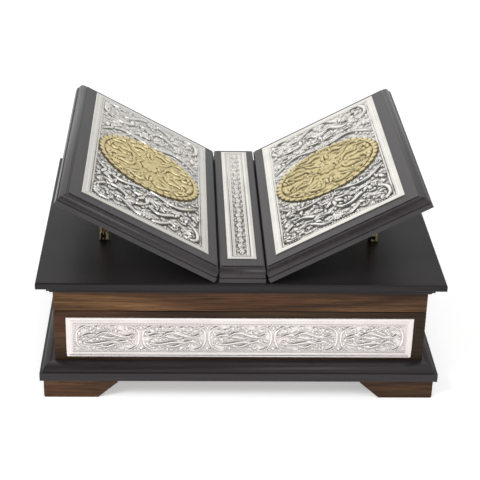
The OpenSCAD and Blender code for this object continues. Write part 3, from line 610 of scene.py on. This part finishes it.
def wall_pattern(cartouches):
    """Row of long cartouches filled with scrolls, and flowers between them."""
    def draw(relief, low, high):
        mid = (low + high) / 2
        half = (high - low) / 2 - np.array((7.0, 6.2, 0))
        random = np.random.default_rng(11)
        pitch = 2 * half[0] / cartouches
        reach, rise = pitch / 2 - 1.6, half[1] - 0.2
        for k in range(cartouches):
            cx = mid[0] - half[0] + (k + 0.5) * pitch
            for j, u in enumerate((-0.68, -0.34, 0.0, 0.34, 0.68)):
                side = 1 if j % 2 else -1
                large, small = (cx + u * reach, mid[1] + side * 4.4), (cx + u * reach, mid[1] - side * 7.0)
                relief.scroll(large, 8.6, random.uniform(0, math.tau), side, 1.2, 1.0)
                relief.scroll(small, 6.4, random.uniform(0, math.tau), -side, 1.1, 1.0)
            for side, lift, lean in ((-1, -0.5, 0.9), (1, 0.1, 0.5), (-1, 0.3, -0.7), (1, -0.35, -0.4)):
                relief.ribbon((cx - side * 0.8 * reach, mid[1] + lift * rise),
                              (cx - side * 0.4 * reach, mid[1] + (lift + lean) * rise),
                              (cx, mid[1] + (lift - lean) * rise),
                              (cx + side * 0.4 * reach, mid[1] + (lift + 0.3 * lean) * rise),
                              radius=1.35, height=1.2, moat=0.5)
            s = np.linspace(0, math.tau, 260)
            path = np.stack([cx + reach * np.sign(np.cos(s)) * np.abs(np.cos(s)) ** 0.6,
                             mid[1] + rise * np.sign(np.sin(s)) * np.abs(np.sin(s)) ** 0.7], 1)
            relief.stroke(path, 0.8, 0.9, 0.5)
        for k in range(1, cartouches):
            for side in (-1, 1):
                for lean in (-0.7, 0.0, 0.7):
                    relief.leaf((mid[0] - half[0] + k * pitch, mid[1] + side * (half[1] + 0.5)),
                                -side * math.pi / 2 + lean, 6.0, 1.1, lean * 0.6, 1.0, 0.4)
        relief.fill(random, low[0] + 8, high[0] - 8, low[1] + 7, high[1] - 7, 3.4, 3.8, 0.8, 0.8)
        relief.h += 0.03 * random.standard_normal(relief.h.shape) * (relief.h < 0.2)
    return draw


def medallion_pattern(relief, a, b):
    """Mirrored arabesque: curled bands and leaves round a flower."""
    # Places are shares of the half axes a and b
    bands = (((0.10, 0.66), (0.24, 0.82), (0.34, 0.5), (0.5, 0.62)),
             ((0.5, 0.62), (0.64, 0.7), (0.74, 0.5), (0.62, 0.42)),
             ((0.3, 0.12), (0.36, 0.42), (0.52, 0.2), (0.6, 0.3)),
             ((0.64, 0.1), (0.78, 0.06), (0.84, 0.26), (0.74, 0.3)))
    sprays = ((0.16, 0.28, 0.5, 17), (0.2, 0.46, 0.3, 16), (0.26, 0.78, -0.1, 17), (0.04, 0.4, 1.5, 12),
              (0.44, 0.06, 0.3, 14), (0.78, 0.1, 1.0, 7), (0.03, 0.86, 0.05, 12), (0.56, 0.5, -0.5, 11))
    for side in (-1, 1):
        for end in (-1, 1):
            def at(u, v):
                return side * u * a, end * v * b
            for band in bands:
                relief.ribbon(*(at(u, v) for u, v in band), radius=1.9, height=1.35, moat=0.9)
            for u, v, turn, length in sprays:
                heading = math.atan2(end * math.sin(turn), side * math.cos(turn))
                relief.leaf(at(u, v), heading, length, 1.6, 0.5 * side * end, 1.2, 0.8)
            relief.rosette(at(0.66, 0.27), 3.2, 6, 1.2)
    relief.rosette((0, 0), 8.5, 8, 1.3)
    relief.rosette((0, 0), 4.2, 8, 1.6)
    relief.fill(np.random.default_rng(3), -0.8 * a, 0.8 * a, -0.8 * b, 0.8 * b, 5.0, 5.0, 0.9, 0.8)


def medallion_half():
    """Half axes of a medallion, in millimetres; both are alike."""
    low, high = local_box("left_medallion", leaf_place("left"))
    return tuple((high - low)[:2] / 2)


def medallion(side, place, material):
    """Oval disc with a roped, scalloped border round the arabesque."""
    node = side + "_medallion"
    low, high = local_box(node, place)
    mid, half = (low + high) / 2, (high - low) / 2
    a, b = half[0], half[1]
    rings, spokes = 92, 520
    t = np.linspace(0.004, 1, rings)[:, None]
    turn = np.linspace(0, math.tau, spokes, endpoint=False)[None]
    lobe = np.abs(np.sin(MEDAL_LOBES * turn / 2))
    scale = t * (1 - MEDAL_BITE * (1 - lobe) * t ** 12)
    x, y = a * scale * np.cos(turn), b * scale * np.sin(turn)
    relief = Relief(x, y)
    medallion_pattern(relief, a, b)
    relief.h = np.where(t > MEDAL_FIELD, 0.0, relief.h)
    slant = np.abs(np.sin(MEDAL_LOBES * turn / 2 + 5 * (t - 0.95)))
    rope = (0.15 + 0.95 * slant ** 0.7) * np.sqrt(np.clip(1 - ((t - ROPE_AT) / ROPE_HALF) ** 2, 0, 1))
    heights = np.maximum(relief.h, rope)
    grit = np.random.default_rng(5).standard_normal(heights.shape)
    heights = heights + 0.04 * grit * (heights < 0.15)
    top = np.stack([mid[0] + x, mid[1] + y, low[2] + MEDAL_GROUND + heights], -1)
    top = put(top.reshape(-1, 3), place).reshape(rings, spokes, 3)
    piece = solid(side + "_medallion_relief", top, underside(place, low[2]), cavity_of(heights, 0.6),
                  wrap=True)
    stands_for(piece, node, material)


# ---------- velvet panels ----------

def padded_panel(name, node, place, low, high, thick, material):
    """Thin padded panel, crowned and rounded off at its edges."""
    def spaced(a, b):
        near = PANEL_EDGE * (1 - np.cos(np.linspace(0, math.pi / 2, 6)))
        between = np.linspace(a + PANEL_EDGE, b - PANEL_EDGE, int((b - a) / PANEL_STEP) + 2)[1:-1]
        return np.concatenate([a + near, between, b - near[::-1]])
    x, y = np.meshgrid(spaced(low[0], high[0]), spaced(low[1], high[1]), indexing="ij")
    inside = np.minimum.reduce([x - low[0], high[0] - x, y - low[1], high[1] - y])
    rise = np.sqrt(np.clip(1 - (1 - np.clip(inside / PANEL_EDGE, 0, 1)) ** 2, 0, 1))
    wave = PANEL_WAVE * np.sin(x * 0.11 + 0.6 * np.sin(y * 0.07)) * np.sin(y * 0.13)
    heights = PANEL_RIM + (thick - PANEL_RIM - PANEL_SHORT + wave) * rise
    top = np.stack([x, y, low[2] + heights], -1)
    top = put(top.reshape(-1, 3), place).reshape(*x.shape, 3)
    piece = solid(name, top, underside(place, low[2]), np.zeros_like(x))
    stands_for(piece, node, material)


def linings(material):
    """Velvet panels in the lid, on the box's floor and along its four walls."""
    low, high = (np.array(c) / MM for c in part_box("lid_lining"))
    thick = high[2] - low[2]
    under = Matrix.Rotation(math.pi, 4, "X")
    padded_panel("lid_velvet", "lid_lining", under, (low[0], low[1], -high[2]), (high[0], high[1]),
                 thick, material)
    low, high = (np.array(c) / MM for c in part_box("box_lining"))
    padded_panel("floor_velvet", "box_lining", Matrix.Identity(4), low, high, thick, material)
    for k, side in enumerate(("back", "left", "front", "right")):
        place = wall_place(k)
        reach = high[0] if k % 2 == 0 else high[1]
        across = high[1] if k % 2 == 0 else high[0]
        shorter = 0 if k % 2 == 0 else thick
        padded_panel(side + "_velvet", "box_lining", place, (-reach + shorter, low[2] + thick, -across),
                     (reach - shorter, high[2]), thick, material)


# ---------- places ----------

def wall_place(quarter):
    """Frame of a plate that faces the front, turned by quarters to the other sides."""
    return Matrix.Rotation(quarter * math.pi / 2, 4, "Z") @ Matrix.Rotation(math.pi / 2, 4, "X")


def leaf_place(side):
    """Frame of a raised leaf: origin at its hinge pin, X to the reader's right along the leaf, Z off its
    face."""
    joint = next(j for j in frame["joints"] if j["name"] == side + "_leaf_hinge")
    tilt = math.radians(max(abs(limit) for limit in joint["range_deg"]))
    return Matrix.Translation(joint["pos_m"]) @ Matrix.Rotation(tilt if side == "left" else -tilt, 4, "Y")


# ---------- studio ----------

def camera():
    """Camera at EYE, turned by pitch, roll and yaw."""
    turn = (Matrix.Rotation(math.radians(PITCH), 3, "X") @ Matrix.Rotation(math.radians(ROLL), 3, "Y")
            @ Matrix.Rotation(math.radians(YAW), 3, "Z"))
    right, forward, up = turn
    made = bpy.data.objects.new("camera", bpy.data.cameras.new("camera"))
    bpy.context.scene.collection.objects.link(made)
    made.data.lens, made.data.sensor_width = LENS, SENSOR
    made.matrix_world = Matrix.Translation(EYE) @ Matrix((right, up, -forward)).transposed().to_4x4()
    bpy.context.scene.camera = made


def lamp(name, at, aim, size, watts, mirrored):
    """Rectangular lamp aimed at a point; mirrored says whether glossy surfaces show it."""
    data = bpy.data.lights.new(name, "AREA")
    data.shape, data.size, data.size_y = "RECTANGLE", size[0], size[1]
    data.energy = watts
    made = bpy.data.objects.new(name, data)
    bpy.context.scene.collection.objects.link(made)
    made.location = at
    made.rotation_euler = (Vector(aim) - Vector(at)).to_track_quat("-Z", "Y").to_euler()
    made.visible_glossy = mirrored


def sky():
    """Pale studio tent: brighter to the left, dark high up before the object, where the camera stands."""
    world = bpy.data.worlds.new("studio")
    bpy.context.scene.world = world
    world.use_nodes = True
    nodes, links = world.node_tree.nodes, world.node_tree.links
    ray = nodes.new("ShaderNodeTexCoord").outputs["Generated"]

    def towards(direction, stops):
        dot = nodes.new("ShaderNodeVectorMath")
        dot.operation = "DOT_PRODUCT"
        dot.inputs[1].default_value = Vector(direction).normalized()
        links.new(ray, dot.inputs[0])
        ramp = nodes.new("ShaderNodeValToRGB")
        for element, (position, grey) in zip(ramp.color_ramp.elements, stops):
            element.position, element.color = position, (grey, grey, grey, 1)
        links.new(dot.outputs["Value"], ramp.inputs["Fac"])
        return ramp.outputs["Color"]
    both = nodes.new("ShaderNodeMix")
    both.data_type, both.blend_type = "RGBA", "MULTIPLY"
    both.inputs["Factor"].default_value = 1.0
    links.new(towards((-0.58, -0.34, 0.74), SKY_DARK), both.inputs["A"])
    links.new(towards((-1, 0.3, 0), SKY_SIDE), both.inputs["B"])
    links.new(both.outputs["Result"], nodes["Background"].inputs["Color"])
    nodes["Background"].inputs["Strength"].default_value = SKY


def floor():
    """Large white floor with a faint glow, which the object stands on."""
    p = Paint("floor")
    p.set(Base_Color=p.ramp(p.noise(p.place(), 3, 2), [(0.3, 0.86), (0.7, 0.9)]), Roughness=0.7,
          Emission_Color=(1, 1, 1, 1), Emission_Strength=FLOOR_GLOW)
    mesh = bpy.data.meshes.new("floor")
    mesh.from_pydata([(-8, -8, 0), (8, -8, 0), (8, 8, 0), (-8, 8, 0)], [], [(0, 1, 2, 3)])
    made = bpy.data.objects.new("floor", mesh)
    bpy.context.scene.collection.objects.link(made)
    mesh.materials.append(p.material)


# ---------- carried-over parts ----------

def ease(node, width, segments=2):
    """Eased arrises on a CAD part; width is in millimetres."""
    made = NODES[node]
    made.modifiers.new("weld", "WELD").merge_threshold = 1e-6
    bevel = made.modifiers.new("ease", "BEVEL")
    bevel.width, bevel.segments = width * MM, segments
    bevel.limit_method, bevel.angle_limit = "ANGLE", math.radians(32)
    bevel.harden_normals = True


def dress(node, material, width):
    """Gives a CAD part its material and eased arrises."""
    NODES[node].data.materials.clear()
    NODES[node].data.materials.append(material)
    ease(node, width)


def dress_frame():
    """Dresses every CAD part that stays visible; grain axis 0 runs across the box, 1 from front to back."""
    case = {axis: dark_wood("case", axis, 0.013, 0.0, 0.2) for axis in (0, 1)}
    desk = {axis: dark_wood("desk", axis, 0.024, 0.26, 0.32) for axis in (0, 1)}
    base = {axis: dark_wood("base", axis, 0.020, 0.12, 0.24) for axis in (0, 1)}
    wall = {axis: walnut(axis, 1 + axis, 0.58) for axis in (0, 1)}
    skirt = {axis: walnut(axis, 3 + axis, 1.25) for axis in (0, 1)}
    foot = walnut(None, 5, 1.0)
    metal, streaked, black = brass("hinge", 0.2), brass("prop", 0.85), black_metal()
    # The prop brackets are painted black as shade.
    shaded_bracket_brass = shadow_painted_brass(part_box("left_prop_brackets")[0][2])
    slots = {part["node"]: part["material_slot"] for part in frame["record"]["subparts"]}
    for node in NODES:
        axis = 1 if node.startswith(("left", "right", "spine")) else 0
        # Pins and screws are black as painted shade, like the brackets beside them.
        if node in ("prop_pins", "lid_top_screws"):
            dress(node, black, FINE_EASE)
        elif node.endswith("prop_brackets"):
            dress(node, shaded_bracket_brass, BLACK_EASE)
        elif node.endswith("_prop"):
            dress(node, streaked, FINE_EASE)
        elif slots[node] == "brass":
            dress(node, metal, FINE_EASE)
        elif slots[node] == "black_metal":
            dress(node, black, BLACK_EASE)
        elif slots[node] == "dark_wood":
            wood = desk if node == "spine" or node.endswith("_leaf") else base if "base" in node else case
            dress(node, wood[axis], DARK_EASE)
        elif slots[node] == "walnut" and node.endswith("foot"):
            dress(node, foot, WALNUT_EASE)
        elif slots[node] == "walnut":
            wood = skirt if node.endswith("skirt") else wall
            dress(node, wood[axis], WALNUT_EASE)


# ---------- the scene ----------

camera()
sky()
floor()
lamp("key", (-0.75, -0.8, 1.0), (-0.05, -0.1, 0.05), (0.5, 0.4), 9, False)
lamp("top", (0.4, -0.5, 1.1), (0, 0, 0.1), (0.6, 0.45), 2.5, True)
bpy.context.scene.view_settings.view_transform = "Standard"
dress_frame()

silver = embossed("silver", (0.875, 0.85, 0.785, 1), (0.97, 0.95, 0.91, 1), (0.012, 0.011, 0.010, 1),
                  0.22)
case_silver = embossed("case_silver", (0.79, 0.74, 0.72, 1), (1.0, 0.965, 0.945, 1),
                       (0.52, 0.475, 0.455, 1), 0.22)
gilt = embossed("gilt", (0.86, 0.73, 0.41, 1), (0.97, 0.86, 0.53, 1), (0.09, 0.062, 0.022, 1), 0.5)

for side in ("left", "right"):
    place = leaf_place(side)
    # 0.6 thins the patina towards the far end as painted shade; 3 leans it onto each motif's front as
    # painted shadow.
    plate(side + "_leaf_relief", side + "_leaf_silver_plate", place, LEAF_STEP, RIM_WIDTH["leaf"],
          leaf_pattern, silver, 0.36, 0.6, 3)
    medallion(side, place, gilt)
# 0.6 thins the patina towards the far end as painted shade.
plate("spine_relief", "spine_silver_plate", Matrix.Identity(4), PLATE_STEP, RIM_WIDTH["spine"],
      spine_pattern, silver, 0.45, 0.6)
for side, quarter, cartouches in (("front", 0, 5), ("left", -1, 4), ("right", 1, 4)):
    plate(side + "_relief", side + "_silver_plate", wall_place(quarter), PLATE_STEP, RIM_WIDTH["wall"],
          wall_pattern(cartouches), case_silver, 0.8)
linings(velvet())
